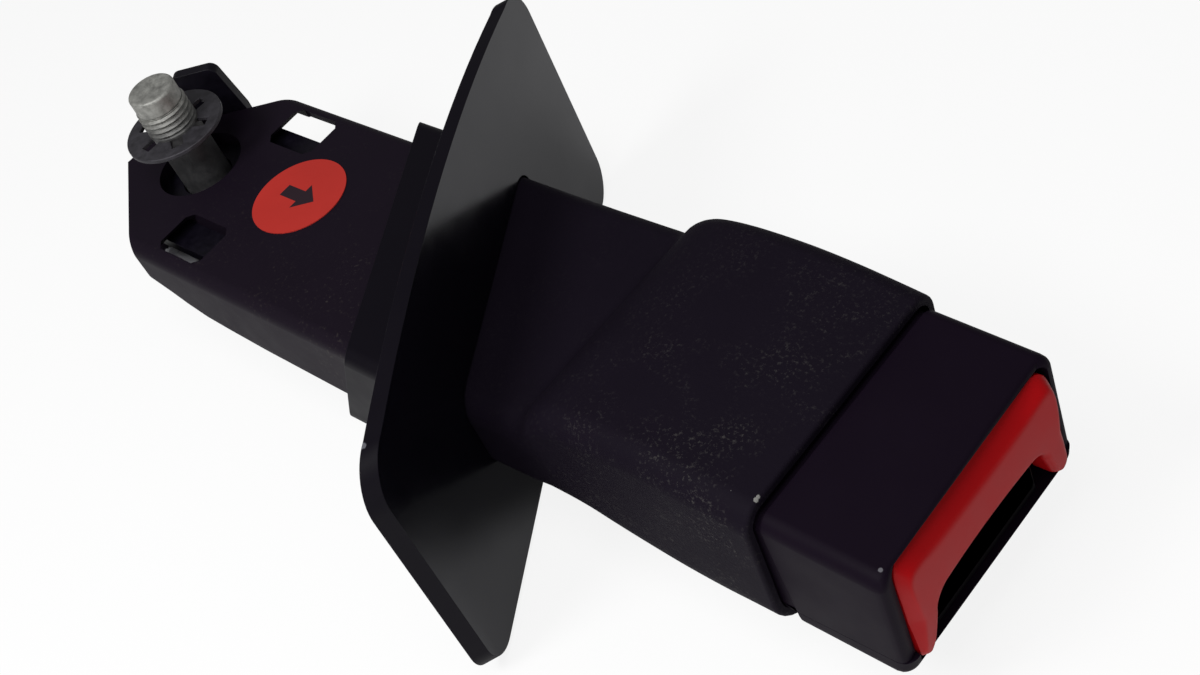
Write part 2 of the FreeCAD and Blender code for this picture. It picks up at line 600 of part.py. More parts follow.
def make_press_button():
    half = BUTTON_HALF
    top = HEAD_TOP - HEAD_WALL - BUTTON_GAP
    skirt = BUTTON_SKIRT_T
    back = BUTTON_BACK
    nose = HEAD_NOSE_X + 1
    body = tube_between([(x, half, top, BUTTON_LEG_BOTTOM, HEAD_TOP_R - 1.0, BUTTON_FOOT_R)
                         for x in (BUTTON_SKIRT_BACK, nose)])
    body = body.cut(tube_between([(x, half - skirt, top - skirt, -40, 1.0, 1.0)
                                  for x in (BUTTON_SKIRT_BACK - 1, back)]))
    body = body.cut(tube_between([(x, BUTTON_SLOT_HALF, BUTTON_SLOT_TOP, -40, BUTTON_SLOT_R, 1.0)
                                  for x in (back - 1, nose + 1)]))
    beyond = nose + 5
    ahead = BUTTON_PROFILE + [(beyond, BUTTON_PROFILE[-1][1]), (beyond, BUTTON_PROFILE[0][1])]
    body = body.cut(slab(ahead, -60, 60))
    front = max(x for x, z in BUTTON_PROFILE)
    chamfer = BUTTON_SIDE_CHAMFER
    for side in (1, -1):
        body = body.cut(prism([(front + 1, side * (half - chamfer - 1)), (front + 1, side * (half + 1)),
                               (front - chamfer - 1, side * (half + 1))], -60, 60))
        body = body.fuse(box_y(BUTTON_ARM_BACK, BUTTON_SKIRT_BACK + 1, side * (half - skirt), side * half,
                               BUTTON_ARM_BOTTOM, BUTTON_ARM_TOP))
        y0, y1 = sorted((side * CAM_Y0, side * CAM_Y1))
        body = body.fuse(slab(cam_outline(), y0, y1))
    return body.removeSplitter()


def cam_outline():
    """Side view of a cam rib: a slope that lifts the latch's ear, on a bar from the button's back."""
    tip = BUTTON_ARM_BACK - 0.2
    knee = tip + BUTTON_TRAVEL
    under = CAM_TIP_Z - CAM_TIP_T
    front = BUTTON_BACK + 0.5
    bar_top = CAM_BAR_Z + CAM_BAR_T
    knee_z = CAM_TIP_Z + CAM_SLOPE * BUTTON_TRAVEL
    return [(tip, under), (tip, CAM_TIP_Z), (knee, knee_z), (knee + 1, bar_top), (front, bar_top),
            (front, CAM_BAR_Z), (knee + 4, CAM_BAR_Z), (knee + 1, under)]


def sleeve_spring(x, y, z, radius, length, axis):
    ring = rod(x, y, z, radius, length, axis)
    return ring.cut(rod(x, y, z, radius - SPRING_WIRE, length, axis))


def make_button_springs():
    length = BUTTON_BACK - BUTTON_SPRING_BACK
    return Part.Compound([sleeve_spring(BUTTON_SPRING_BACK, y, BUTTON_SPRING_Z, BUTTON_SPRING_R, length,
                                        V(1, 0, 0)) for y in (-BUTTON_SPRING_Y, BUTTON_SPRING_Y)])


def make_tongue_guide():
    half = BUTTON_SLOT_HALF - BUTTON_GAP
    floor = HEAD_BOTTOM + HEAD_WALL
    body = tube_between([(x, half, GUIDE_TOP, floor, BUTTON_SLOT_R - BUTTON_GAP, 0.5)
                         for x in (GUIDE_BACK, GUIDE_FRONT)])
    small = (GUIDE_SLOT_HALF, GUIDE_SLOT_TOP, GUIDE_SLOT_BOTTOM, 0.8, 0.8)
    flare = GUIDE_FLARE
    wide = (GUIDE_SLOT_HALF + flare, GUIDE_SLOT_TOP + flare, GUIDE_SLOT_BOTTOM - flare, 0.8, 0.8)
    slot = tube_between([(GUIDE_BACK - 1,) + small, (GUIDE_BACK + 2.5,) + small, (GUIDE_FRONT + 0.5,) + wide])
    return body.cut(slot).removeSplitter()


def make_buckle_frame():
    floor = frame_floor()
    base = box(FRAME_BACK, FRAME_FRONT, -FRAME_HALF, FRAME_HALF, floor, floor + FRAME_T)
    for side in (1, -1):
        y0, y1 = sorted((side * FRAME_HALF, side * (FRAME_HALF - FRAME_T)))
        base = base.fuse(slab([(CHEEK_BACK, floor), (FRAME_FRONT, floor), (FRAME_FRONT, FRAME_TOP - 6),
                               (FRAME_FRONT - 12, FRAME_TOP), (CHEEK_BACK + 1, FRAME_TOP),
                               (CHEEK_BACK, FRAME_TOP - 4)], y0, y1))
    base = base.cut(rod(PIN_X, -FRAME_HALF - 1, PIN_Z, PIN_R + PIN_FIT, 2 * FRAME_HALF + 2, V(0, 1, 0)))
    for y in (-RIVET_Y, RIVET_Y):
        base = base.cut(rod(RIVET_X, y, floor - 1, RIVET_R, FRAME_T + 2))
    window = box(LATCH_FRONT - TOOTH_T - WINDOW_GAP / 2, LATCH_FRONT + 2 * WINDOW_GAP,
                 -TOOTH_HALF - WINDOW_GAP, TOOTH_HALF + WINDOW_GAP, floor - 1, floor + FRAME_T + 1)
    return base.cut(window).removeSplitter()


def make_frame_rivets():
    floor = frame_floor()
    top = floor + FRAME_T + STRAP_T
    rivets = []
    for y in (-RIVET_Y, RIVET_Y):
        shank = rod(RIVET_X, y, floor + 0.05, RIVET_R, top - floor)
        rivets.append(shank.fuse(rod(RIVET_X, y, top, RIVET_HEAD_R, RIVET_HEAD_T)))
    return Part.Compound(rivets)


def make_latch():
    length = 2 * LATCH_HALF
    hub = rod(PIN_X, -LATCH_HALF, PIN_Z, LATCH_HUB_R, length, V(0, 1, 0))
    plate = box(PIN_X, LATCH_FRONT, -LATCH_HALF, LATCH_HALF, LATCH_BOTTOM, LATCH_BOTTOM + LATCH_T)
    back = LATCH_FRONT - TOOTH_T
    tooth = slab([(back, LATCH_BOTTOM + 1), (LATCH_FRONT, LATCH_BOTTOM + 1), (LATCH_FRONT, LATCH_BOTTOM),
                  (LATCH_FRONT - TOOTH_T / 2, TOOTH_TIP), (back, TOOTH_TIP)], -TOOTH_HALF, TOOTH_HALF)
    ears = box(EAR_BACK, EAR_FRONT, -CAM_Y1, CAM_Y1, LATCH_BOTTOM, LATCH_BOTTOM + LATCH_T)
    bore = rod(PIN_X, -LATCH_HALF - 1, PIN_Z, PIN_R + PIN_FIT, length + 2, V(0, 1, 0))
    return hub.fuse(plate).fuse(tooth).fuse(ears).cut(bore).removeSplitter()


def make_latch_pin():
    length = 2 * FRAME_HALF + 1.6
    return rod(PIN_X, -length / 2, PIN_Z, PIN_R, length, V(0, 1, 0))


def make_latch_spring():
    low = LATCH_BOTTOM + LATCH_T
    return sleeve_spring(LATCH_SPRING_X, 0, low, LATCH_SPRING_R, HEAD_TOP - HEAD_WALL - low, V(0, 0, 1))


def make_ejector():
    low = ejector_floor()
    body = box(EJECTOR_BACK, EJECTOR_FRONT, -EJECTOR_HALF, EJECTOR_HALF, low, EJECTOR_TOP)
    bore = rod(EJECTOR_BACK - 1, 0, (low + EJECTOR_TOP) / 2, EJECTOR_SPRING_R + SPRING_FIT,
               EJECTOR_BORE_END - EJECTOR_BACK + 1, V(1, 0, 0))
    return body.cut(bore)


def make_ejector_spring():
    return sleeve_spring(STRAP_FRONT, 0, (ejector_floor() + EJECTOR_TOP) / 2, EJECTOR_SPRING_R,
                         EJECTOR_BORE_END - STRAP_FRONT, V(1, 0, 0))


def ejector_floor():
    return frame_floor() + FRAME_T + BODY_GAP


def build():
    upper, lower = make_head_casings()
    nodes = {
        "anchor_strap": make_anchor_strap(),
        "anchor_bolt": make_anchor_bolt(),
        "spring_washer": make_spring_washer(),
        "retaining_washer": make_retaining_washer(),
        "rear_cover": make_rear_cover(),
        "rear_cover_base": make_rear_cover_base(),
        "cover_rivets": make_cover_rivets(),
        "side_label": make_side_label(),
        "trim_plate": make_trim_plate(),
        "stalk_sleeve": make_stalk_sleeve(),
        "head_casing_upper": upper,
        "head_casing_lower": lower,
        "casing_clips": make_casing_clips(),
        "press_button": make_press_button(),
        "button_springs": make_button_springs(),
        "tongue_guide": make_tongue_guide(),
        "buckle_frame": make_buckle_frame(),
        "frame_rivets": make_frame_rivets(),
        "latch": make_latch(),
        "latch_pin": make_latch_pin(),
        "latch_spring": make_latch_spring(),
        "ejector": make_ejector(),
        "ejector_spring": make_ejector_spring(),
    }
    os.makedirs("parts", exist_ok=True)
    for name, shape in nodes.items():
        shape.exportStep(f"parts/{name}.step")
        print(name, len(shape.Solids), "solids", round(shape.Volume), "mm3", shape.isValid())


build()
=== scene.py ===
import math
import bpy
import bmesh
import numpy as np
from mathutils import Matrix, Vector


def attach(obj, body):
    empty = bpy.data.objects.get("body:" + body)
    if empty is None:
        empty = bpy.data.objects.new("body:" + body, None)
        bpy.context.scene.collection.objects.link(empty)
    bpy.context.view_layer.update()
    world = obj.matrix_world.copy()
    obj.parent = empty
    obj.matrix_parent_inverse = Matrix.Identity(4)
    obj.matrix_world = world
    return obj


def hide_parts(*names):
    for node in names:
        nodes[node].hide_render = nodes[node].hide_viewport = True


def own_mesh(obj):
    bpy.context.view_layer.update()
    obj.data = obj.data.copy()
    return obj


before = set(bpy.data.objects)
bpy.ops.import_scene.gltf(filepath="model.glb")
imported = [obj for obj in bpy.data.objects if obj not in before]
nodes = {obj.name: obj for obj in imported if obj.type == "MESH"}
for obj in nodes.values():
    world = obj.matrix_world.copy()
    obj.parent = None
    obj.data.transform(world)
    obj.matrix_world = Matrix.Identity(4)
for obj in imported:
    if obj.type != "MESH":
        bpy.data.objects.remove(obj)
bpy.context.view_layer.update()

# Seat belt buckle on a rigid stalk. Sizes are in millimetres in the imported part's own frame:
# +X along the stalk to the red press button, +Z along the anchor bolt, +Y to the folded steel tab.

mm = 0.001
scene = bpy.context.scene


# Helpers for colour, nodes and meshes

def hexColour(code):  # sRGB hex to linear: c/12.92 below 0.04045, ((c+0.055)/1.055)^2.4 above
    parts = [int(code[i:i + 2], 16) / 255 for i in (0, 2, 4)]
    return [c / 12.92 if c <= 0.04045 else ((c + 0.055) / 1.055) ** 2.4 for c in parts] + [1.0]


def addNode(tree, kind, settings=None, links=None):  # a node, its settings, then what feeds its sockets
    node = tree.nodes.new(kind)
    for key, value in (settings or {}).items():
        if isinstance(key, str) and hasattr(node, key):
            setattr(node, key, value)
        else:
            node.inputs[key].default_value = value
    for key, source in (links or {}).items():
        tree.links.new(source, node.inputs[key])
    return node


def newMaterial(name, shaderSettings):
    material = bpy.data.materials.new(name)
    material.use_nodes = True
    tree = material.node_tree
    tree.nodes.clear()
    shader = addNode(tree, "ShaderNodeBsdfPrincipled", shaderSettings)
    addNode(tree, "ShaderNodeOutputMaterial", links={"Surface": shader.outputs["BSDF"]})
    place = addNode(tree, "ShaderNodeTexCoord").outputs["Object"]
    return material, tree, shader, place


def gridFaces(rows, columns, closeRows=False, closeColumns=False):  # quads between neighbours on a grid
    r = np.arange(rows if closeRows else rows - 1)[:, None]
    c = np.arange(columns if closeColumns else columns - 1)[None, :]
    r2, c2 = (r + 1) % rows, (c + 1) % columns
    corners = [r * columns + c, r * columns + c2, r2 * columns + c2, r2 * columns + c]
    return np.stack(np.broadcast_arrays(*corners), -1).reshape(-1, 4).tolist()


def finishPiece(piece, material, sharpDegrees=32):  # smooth shading that keeps the flats flat
    mesh = piece.data
    mesh.materials.clear()
    mesh.materials.append(material)
    mesh.shade_smooth()
    mesh.set_sharp_from_angle(angle=math.radians(sharpDegrees))
    even = piece.modifiers.new("evenNormals", "WEIGHTED_NORMAL")
    even.keep_sharp = True
    return piece


def meshPiece(name, points, faces, material, sharpDegrees=32):
    mesh = bpy.data.meshes.new(name)
    mesh.from_pydata((np.asarray(points, float).reshape(-1, 3) * mm).tolist(), [], faces)
    mesh.validate()
    work = bmesh.new()
    work.from_mesh(mesh)
    bmesh.ops.remove_doubles(work, verts=work.verts, dist=0.001 * mm)
    bmesh.ops.recalc_face_normals(work, faces=work.faces)
    work.to_mesh(mesh)
    work.free()
    piece = bpy.data.objects.new(name, mesh)
    scene.collection.objects.link(piece)
    return finishPiece(piece, material, sharpDegrees)


def placePiece(piece, body, slot, *replaced):
    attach(piece, body)
    if replaced:
        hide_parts(*replaced)
    return piece


# A closed wall: outer and inner are (row, column, 3) grids, joined at both ends and, where the columns
# don't run all the way round, along both sides.
def wallShell(outer, inner, closeAround):
    rows, columns = outer.shape[:2]
    loop = np.concatenate([outer, inner[::-1]])
    faces = gridFaces(2 * rows, columns, True, closeAround)
    if not closeAround:
        row = np.arange(rows - 1)
        far = 2 * rows - 1 - row
        for column in (0, columns - 1):
            ends = np.stack([row, row + 1, far - 1, far], -1) * columns + column
            faces += (ends if column else ends[:, ::-1]).tolist()
    return loop.reshape(-1, 3), faces


# A copy of a node's mesh, merged into flat faces, with its sharp edges rounded to a width in mm.
def softenCopy(node, name, material, width, segments=2, angle=28):
    mesh = nodes[node].data.copy()
    mesh.name = name
    work = bmesh.new()
    work.from_mesh(mesh)
    bmesh.ops.remove_doubles(work, verts=work.verts, dist=0.002 * mm)
    bmesh.ops.dissolve_limit(work, angle_limit=math.radians(0.3), verts=work.verts, edges=work.edges)
    work.to_mesh(mesh)
    work.free()
    piece = bpy.data.objects.new(name, mesh)
    scene.collection.objects.link(piece)
    bevel = piece.modifiers.new("edges", "BEVEL")
    bevel.width = width * mm
    bevel.segments = segments
    bevel.limit_method = "ANGLE"
    bevel.angle_limit = math.radians(angle)
    bevel.use_clamp_overlap = True
    return finishPiece(piece, material, angle)


# Materials, each named for what the real one is made of

print("stage: materials")


def mixColour(tree, factor, first, second):
    mix = addNode(tree, "ShaderNodeMix", {"data_type": "RGBA"})
    for socket, value in (("A", first), ("B", second)):
        found = [s for s in mix.inputs if s.name == socket and s.type == "RGBA"][0]
        if isinstance(value, bpy.types.NodeSocket):
            tree.links.new(value, found)
        else:
            found.default_value = value
    factorSocket = [s for s in mix.inputs if s.name == "Factor" and s.type == "VALUE"][0]
    tree.links.new(factor, factorSocket)
    return [s for s in mix.outputs if s.type == "RGBA"][0]


def times(tree, first, second):
    return addNode(tree, "ShaderNodeMath", {"operation": "MULTIPLY"},
                   {0: first, 1: second}).outputs[0]


def stretch(tree, value, low, high, toLow=0.0, toHigh=1.0):
    return addNode(tree, "ShaderNodeMapRange",
                   {"From Min": low, "From Max": high, "To Min": toLow, "To Max": toHigh},
                   {"Value": value}).outputs["Result"]


def noise(tree, place, sizeMm, detail=3.0, roughness=0.6):  # cloudy noise with features about sizeMm across
    return addNode(tree, "ShaderNodeTexNoise",
                   {"Scale": 1 / (sizeMm * mm), "Detail": detail, "Roughness": roughness},
                   {"Vector": place}).outputs["Fac"]


# Pale dust where fine and broad noise are both high, fading in along X and towards the near side.
def addDust(tree, place, under, dust):
    specks = stretch(tree, noise(tree, place, dust["speckMm"], 4.0, 0.75), dust["from"], dust["from"] + 0.14)
    patches = stretch(tree, noise(tree, place, dust["patchMm"], 2.0), 0.40, 0.62)
    axes = addNode(tree, "ShaderNodeSeparateXYZ", links={"Vector": place})
    alongStalk = stretch(tree, axes.outputs["X"], dust["xFrom"] * mm, dust["xTo"] * mm, 0.1, 1.0)
    towardsNear = stretch(tree, axes.outputs["Y"], 18 * mm, -24 * mm, 0.15, dust["strength"])
    amount = times(tree, times(tree, times(tree, specks, patches), alongStalk), towardsNear)
    return mixColour(tree, amount, under, hexColour(dust["colour"]))


# Pale marks where a ball of the given radius, roughened by noise, meets the surface: real scuffs, and also
# painted highlights and painted light.
def addScuffsAndPaintedLight(tree, place, under, scuffsAndPaintedLight, colour):
    rough = noise(tree, place, 0.5, 3.0)
    for x, y, z, radius in scuffsAndPaintedLight:
        away = addNode(tree, "ShaderNodeVectorMath",
                       {"operation": "DISTANCE", 1: (x * mm, y * mm, z * mm)}, {0: place}).outputs["Value"]
        inside = stretch(tree, away, radius * mm, radius * 0.4 * mm, 0.0, 1.5)
        amount = stretch(tree, times(tree, inside, rough), 0.25, 0.5, 0.0, 0.85)
        under = mixColour(tree, amount, under, hexColour(colour))
    return under


# Moulded plastic: the tool's grain as a shallow bump, with a little unevenness in tone and gloss.
def grainedPlastic(name, colour, roughness, grainMm, bumpMm, specular, dust=None, scuffsAndPaintedLight=(),
                   scuffAndPaintedLightColour="b9b8b4", specularTint="ffffff"):
    material, tree, shader, place = newMaterial(name, {"IOR": 1.49, "Specular IOR Level": specular,
                                                         "Specular Tint": hexColour(specularTint)})
    broad = noise(tree, place, 14.0)
    bump = addNode(tree, "ShaderNodeBump", {"Strength": 1.0, "Distance": bumpMm * mm},
                   {"Height": noise(tree, place, grainMm)})
    tree.links.new(bump.outputs["Normal"], shader.inputs["Normal"])
    gloss = stretch(tree, broad, 0.3, 0.7, roughness - 0.05, roughness + 0.05)
    tree.links.new(gloss, shader.inputs["Roughness"])
    darker = [c * 0.8 for c in hexColour(colour)[:3]] + [1.0]
    tone = mixColour(tree, broad, darker, hexColour(colour))
    if dust:
        tone = addDust(tree, place, tone, dust)
    if scuffsAndPaintedLight:
        tone = addScuffsAndPaintedLight(tree, place, tone, scuffsAndPaintedLight, scuffAndPaintedLightColour)
    tree.links.new(tone, shader.inputs["Base Color"])
    return material


# Steel under a thin coat: cloudy tone and gloss, with fine handling marks as a bump.
def platedSteel(name, colour, roughness, markMm, metallic=1.0, bumpMm=0.02, specular=0.5, paintedShade=None):
    material, tree, shader, place = newMaterial(name, {"Metallic": metallic, "Specular IOR Level": specular})
    cloud = noise(tree, place, 1.6, 5.0, 0.7)
    darker = [c * 0.45 for c in hexColour(colour)[:3]] + [1.0]
    tone = mixColour(tree, stretch(tree, cloud, 0.3, 0.7), darker, hexColour(colour))
    # painted shade: darker below a height, where the parts above shade the steel
    if paintedShade:  # dark below a height, with a cloudy border
        height = addNode(tree, "ShaderNodeSeparateXYZ", links={"Vector": place}).outputs["Z"]
        border = addNode(tree, "ShaderNodeMath", {"operation": "MULTIPLY_ADD", 1: 2.5 * mm},
                         {0: cloud, 2: height}).outputs[0]
        amount = stretch(tree, border, paintedShade["clearZ"] * mm, paintedShade["darkZ"] * mm, 0.0, paintedShade["strength"])
        tone = mixColour(tree, amount, tone, hexColour(paintedShade["colour"]))
    tree.links.new(tone, shader.inputs["Base Color"])
    gloss = stretch(tree, cloud, 0.3, 0.7, roughness - 0.1, roughness + 0.1)
    tree.links.new(gloss, shader.inputs["Roughness"])
    bump = addNode(tree, "ShaderNodeBump", {"Strength": 0.6, "Distance": bumpMm * mm},
                   {"Height": noise(tree, place, markMm)})
    tree.links.new(bump.outputs["Normal"], shader.inputs["Normal"])
    return material


dustOnSleeve = {"speckMm": 0.7, "patchMm": 12.0, "from": 0.55, "xFrom": 118.0, "xTo": 176.0,
                "strength": 0.40, "colour": "6d6b66"}
dustOnCover = {"speckMm": 0.9, "patchMm": 9.0, "from": 0.58, "xFrom": 0.0, "xTo": 60.0,
               "strength": 0.3, "colour": "6f6a60"}

# polypropylene, moulded with a fine satin grain: near black with a trace of violet; the pale patches on its
# inner ledge under the near slot are painted light
coverLedgePaintedLight = [(1.4, -17.0, -6.2, 2.4), (3.0, -16.6, -6.4, 2.4), (4.6, -16.4, -6.9, 2.4),
                    (6.2, -16.2, -7.4, 2.4), (7.6, -16.0, -7.9, 2.4)]
coverPlastic = grainedPlastic("polypropyleneSatinBlack", "17101b", 0.55, 0.45, 0.012, 0.08,
                              dustOnCover, coverLedgePaintedLight, scuffAndPaintedLightColour="e4e4ea")
# the same plastic from a polished tool: clear, dark reflections on the wide plate, and a painted highlight
# near its lower corner
platePlastic = grainedPlastic("polypropylenePolishedBlack", "08070d", 0.22, 0.6, 0.002, 0.26,
                              scuffsAndPaintedLight=[(121.0, -46.4, 26.2, 0.7)], scuffAndPaintedLightColour="4c4c54",
                              specularTint="eeeeff")
# and its rim and collar, left satin, which catch less of the room, with a painted highlight at the lower
# corner
rimPlastic = grainedPlastic("polypropyleneSatinRim", "0d0a12", 0.50, 0.6, 0.006, 0.08,
                            scuffsAndPaintedLight=[(119.4, -47.3, 26.5, 0.9)], scuffAndPaintedLightColour="66666c")
# spark-eroded tool texture, coarse and matt, which holds dust in its pits
sleeveLipScuffs = [(173.5, -20.9, 12.3, 0.55), (173.6, -20.3, 12.5, 0.5), (173.7, -16.6, 12.8, 0.35),
                   (173.7, -14.8, 12.9, 0.3), (173.6, -9.6, 13.0, 0.3), (169.5, -21.6, 13.3, 0.3)]
sleevePlastic = grainedPlastic("polypropyleneSparkGrained", "15101a", 0.66, 0.7, 0.05, 0.05,
                               dustOnSleeve, sleeveLipScuffs, scuffAndPaintedLightColour="8a8986")
# glass-filled nylon casing with a fine even grain, a painted highlight at its near top front corner and pale
# flecks along the rim's top edge
casingCornerHighlightAndRimFlecks = [(195.1, -21.0, 9.0, 0.55), (194.9, -15.5, 9.6, 0.3), (194.6, 2.0, 10.0, 0.4)]
casingPlastic = grainedPlastic("nylonFineGrained", "130b17", 0.55, 0.5, 0.012, 0.05,
                               scuffsAndPaintedLight=casingCornerHighlightAndRimFlecks, scuffAndPaintedLightColour="68676c")
# plain black acetal in the dark inside the head
innerPlastic = grainedPlastic("acetalBlack", "0c0b0e", 0.5, 0.8, 0.004, 0.12)
# ABS press button in signal red: satin and even
buttonPlastic = grainedPlastic("absSignalRed", "a3090f", 0.40, 1.2, 0.003, 0.11)
# natural acetal of the ejector, off white and waxy
naturalPlastic = grainedPlastic("acetalNatural", "d9d4c6", 0.4, 1.0, 0.004, 0.4)
# printed vinyl film: flat red with a dull face, and its dark ink
labelFilm = grainedPlastic("vinylFilmRed", "b93029", 0.6, 0.9, 0.003, 0.2)
labelInk = grainedPlastic("printInkBlack", "2a1c24", 0.65, 0.9, 0.002, 0.2)
# zinc plating gone dull: light warm grey with soft highlights
zincSteel = platedSteel("zincPlatedSteel", "a3a39e", 0.52, 0.5, 0.6)
# the same on the bolt, with painted shade darkening the shank below the thread, where the washer shades it
boltSteel = platedSteel("zincPlatedBoltSteel", "aaaaa5", 0.54, 0.35, 0.55, 0.035,
                        paintedShade={"clearZ": 23.5, "darkZ": 15.6, "strength": 0.85, "colour": "2b2a30"})
# electro-coated strap: black paint, deep and slightly glossy
coatedSteel = platedSteel("electroCoatedSteel", "110e18", 0.42, 0.9, 0.0, 0.008, 0.14)
# phosphated keeper washer: dark grey and matt
phosphateSteel = platedSteel("phosphatedSteel", "46444a", 0.60, 0.4, 0.5)
hardSteel = platedSteel("hardenedSteel", "8d8f93", 0.34, 0.6)  # ground latch and pin, cool grey
springSteel = platedSteel("springSteelWire", "9ea0a4", 0.26, 0.5)  # drawn wire, bright

nodeMaterial = {
    "anchor_strap": coatedSteel, "anchor_bolt": boltSteel, "spring_washer": springSteel,
    "retaining_washer": phosphateSteel, "rear_cover": coverPlastic, "rear_cover_base": coverPlastic,
    "cover_rivets": zincSteel, "side_label": labelFilm, "trim_plate": platePlastic,
    "stalk_sleeve": sleevePlastic, "head_casing_upper": casingPlastic, "head_casing_lower": casingPlastic,
    "casing_clips": springSteel, "press_button": buttonPlastic, "button_springs": springSteel,
    "tongue_guide": innerPlastic, "buckle_frame": zincSteel, "frame_rivets": zincSteel,
    "latch": hardSteel, "latch_pin": hardSteel, "latch_spring": springSteel,
    "ejector": naturalPlastic, "ejector_spring": springSteel}
for nodeName, material in nodeMaterial.items():
    nodes[nodeName].data.materials.clear()
    nodes[nodeName].data.materials.append(material)


# Camera, lamps, white surroundings

print("stage: camera and light")

camera = {"eye": (318.34, -116.24, 218.51), "forward": (-0.62980, 0.36623, -0.68500),
          "down": (0.30063, -0.69822, -0.64970), "lens": 54.68, "sensor": 36.0}
forward = Vector(camera["forward"]).normalized()
right = Vector(camera["down"]).cross(forward).normalized()
upward = right.cross(forward).normalized()
cameraData = bpy.data.cameras.new("photoCamera")
cameraData.lens = camera["lens"]
cameraData.sensor_width = camera["sensor"]
cameraData.clip_start = 0.01
cameraObject = bpy.data.objects.new("photoCamera", cameraData)
scene.collection.objects.link(cameraObject)
turn = Matrix((right, upward, -forward)).transposed().to_4x4()
cameraObject.matrix_world = Matrix.Translation(Vector(camera["eye"]) * mm) @ turn
scene.camera = cameraObject

lights = {
    "overhead": {"at": (230, -120, 420), "aim": (100, 0, 0), "size": 220, "watts": 0.75},
    "nearSide": {"at": (60, -290, 380), "aim": (100, 0, 0), "size": 170, "watts": 1.25},
    "front": {"at": (430, -300, 110), "aim": (150, 0, -5), "size": 130, "watts": 0.3}}
for lightName, light in lights.items():
    lampData = bpy.data.lights.new(lightName, "AREA")
    lampData.shape = "DISK"
    lampData.size = light["size"] * mm
    lampData.energy = light["watts"]
    lamp = bpy.data.objects.new(lightName, lampData)
    scene.collection.objects.link(lamp)
    lamp.location = Vector(light["at"]) * mm
    lamp.rotation_euler = (Vector(light["aim"]) - Vector(light["at"])).to_track_quat("-Z", "Y").to_euler()

surroundings = {"seen": 0.96, "reflected": 0.2, "lighting": 0.22}  # world strength for each kind of ray
world = bpy.data.worlds.new("paleStudio")
scene.world = world
world.use_nodes = True
worldTree = world.node_tree
worldTree.nodes.clear()
rays = addNode(worldTree, "ShaderNodeLightPath")
sky = {}
for key, value in surroundings.items():
    background = addNode(worldTree, "ShaderNodeBackground", {"Color": (1, 1, 1, 1), "Strength": value})
    sky[key] = background.outputs[0]
mirrored = addNode(worldTree, "ShaderNodeMath", {"operation": "MAXIMUM"},
                   {0: rays.outputs["Is Glossy Ray"], 1: rays.outputs["Is Transmission Ray"]}).outputs[0]
unseen = addNode(worldTree, "ShaderNodeMixShader",
                 links={0: mirrored, 1: sky["lighting"], 2: sky["reflected"]})
allRays = addNode(worldTree, "ShaderNodeMixShader",
                  links={0: rays.outputs["Is Camera Ray"], 1: unseen.outputs[0], 2: sky["seen"]})
addNode(worldTree, "ShaderNodeOutputWorld", links={"Surface": allRays.outputs[0]})

floorSettings = {"half": 1500.0, "z": -30.6, "white": 0.86}  # white: share of plain white the camera sees
half = floorSettings["half"]
floorMaterial = bpy.data.materials.new("paintedBoardWhite")
floorMaterial.use_nodes = True
floorTree = floorMaterial.node_tree
floorTree.nodes.clear()
paint = addNode(floorTree, "ShaderNodeBsdfDiffuse", {"Color": hexColour("f6f6f6")}).outputs[0]
glow = addNode(floorTree, "ShaderNodeEmission", {"Color": (1, 1, 1, 1), "Strength": 1.0}).outputs[0]
cameraRay = addNode(floorTree, "ShaderNodeLightPath").outputs["Is Camera Ray"]
share = addNode(floorTree, "ShaderNodeMath", {"operation": "MULTIPLY", 1: floorSettings["white"]},
                {0: cameraRay})
floorMix = addNode(floorTree, "ShaderNodeMixShader", links={0: share.outputs[0], 1: paint, 2: glow})
addNode(floorTree, "ShaderNodeOutputMaterial", links={"Surface": floorMix.outputs[0]})
floorCorners = [(x * half, y * half, floorSettings["z"]) for x, y in ((-1, -1), (1, -1), (1, 1), (-1, 1))]
floor = meshPiece("paleFloor", floorCorners, [(0, 1, 2, 3)], floorMaterial)
scene.view_settings.view_transform = "Standard"


# Curves and rings shared by the mouldings

# Cubic Hermite curve through (knots, values), its slopes the mean of the neighbouring chords.
def smoothThrough(x, knots, values):
    knots, values = np.array(knots, float), np.array(values, float)
    chords = np.diff(values) / np.diff(knots)
    slopes = np.concatenate([chords[:1], (chords[1:] + chords[:-1]) / 2, chords[-1:]])
    i = np.clip(np.searchsorted(knots, x) - 1, 0, len(knots) - 2)
    width = knots[i + 1] - knots[i]
    t = np.clip((x - knots[i]) / width, 0, 1)
    return ((1 + 2 * t) * (1 - t) ** 2 * values[i] + t * (1 - t) ** 2 * width * slopes[i]
            + t * t * (3 - 2 * t) * values[i + 1] + t * t * (t - 1) * width * slopes[i + 1])


# y and z of rounded rectangles, one row each: every corner is its centre plus r times (cos a, sin a).
# corners picks which quarter turns are used, counted from +y +z.
def roundedRings(half, top, bottom, rTop, rBottom, corners=(0, 1, 2, 3), perCorner=9):
    sizes = [np.atleast_1d(np.asarray(v, float))[:, None] for v in (half, top, bottom, rTop, rBottom)]
    half, top, bottom, rTop, rBottom = np.broadcast_arrays(*sizes)
    ys, zs = [], []
    for k in corners:
        a = np.radians(np.linspace(90 * k, 90 * k + 90, perCorner))[None, :]
        sideY = 1 if k in (0, 3) else -1
        r, centreZ = (rTop, top - rTop) if k < 2 else (rBottom, bottom + rBottom)
        ys.append(sideY * (half - r) + r * np.cos(a))
        zs.append(centreZ + r * np.sin(a))
    return np.concatenate(ys, 1), np.concatenate(zs, 1)


# The height that a crowned moulding gains across its width: amount (1 - (y/half)^2) at its top, fading to
# nothing at its middle height.
def crown(y, z, half, top, bottom, amount):
    middle = (top + bottom) / 2
    return amount * (1 - np.clip(np.abs(y) / half, 0, 1) ** 2) * np.clip((z - middle) / (top - middle), 0, 1)


# The stalk's sleeve: one moulding from the plate's collar to the mouth that holds the head

print("stage: sleeve")

